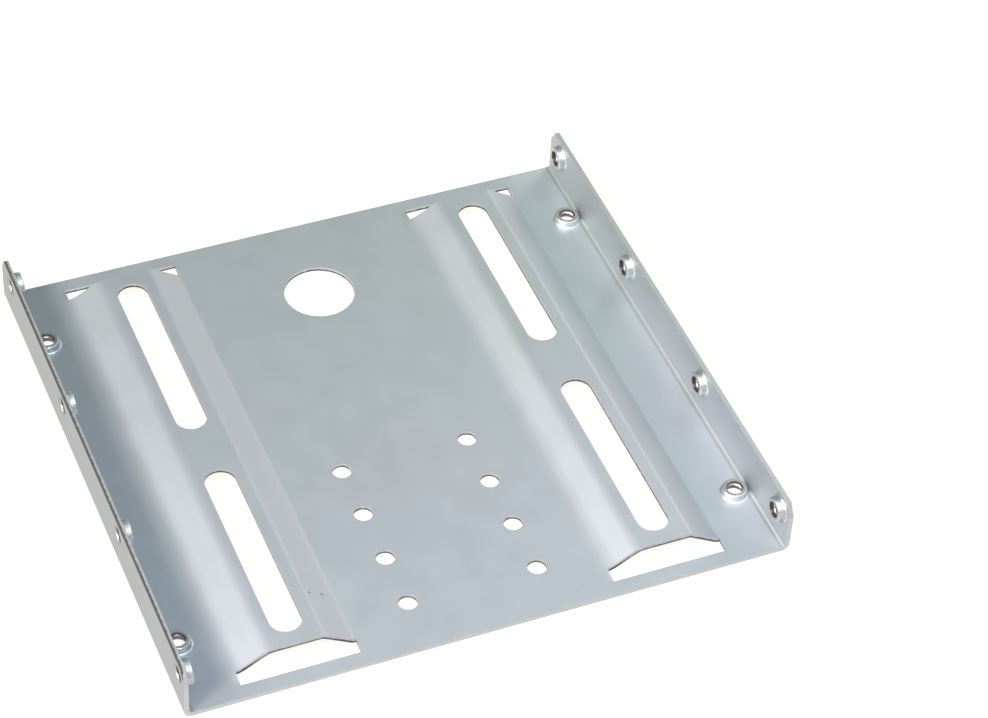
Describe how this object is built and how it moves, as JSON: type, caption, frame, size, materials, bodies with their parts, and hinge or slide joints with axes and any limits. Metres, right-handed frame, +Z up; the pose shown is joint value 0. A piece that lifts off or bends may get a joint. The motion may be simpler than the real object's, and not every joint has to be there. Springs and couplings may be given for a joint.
{
  "type": "drive bay adapter bracket",
  "caption": "Folded sheet-steel tray that holds a small drive in a larger drive bay, with two raised slotted ribs, burred threaded holes and upturned side flanges.",
  "frame": {"origin": "on the underside of the base, in the middle of the tray", "axes": "+X across the tray towards the right flange, +Y from the near edge to the far edge, +Z up the flanges"},
  "size_m": [0.102, 0.0978, 0.0098],
  "materials": {
    "zinc_plated_steel": "satin zinc plate on cold-rolled steel sheet, with bare sheared edges"
  },
  "bodies": {
    "root": {"bracket": "zinc_plated_steel"}
  },
  "joints": []
}
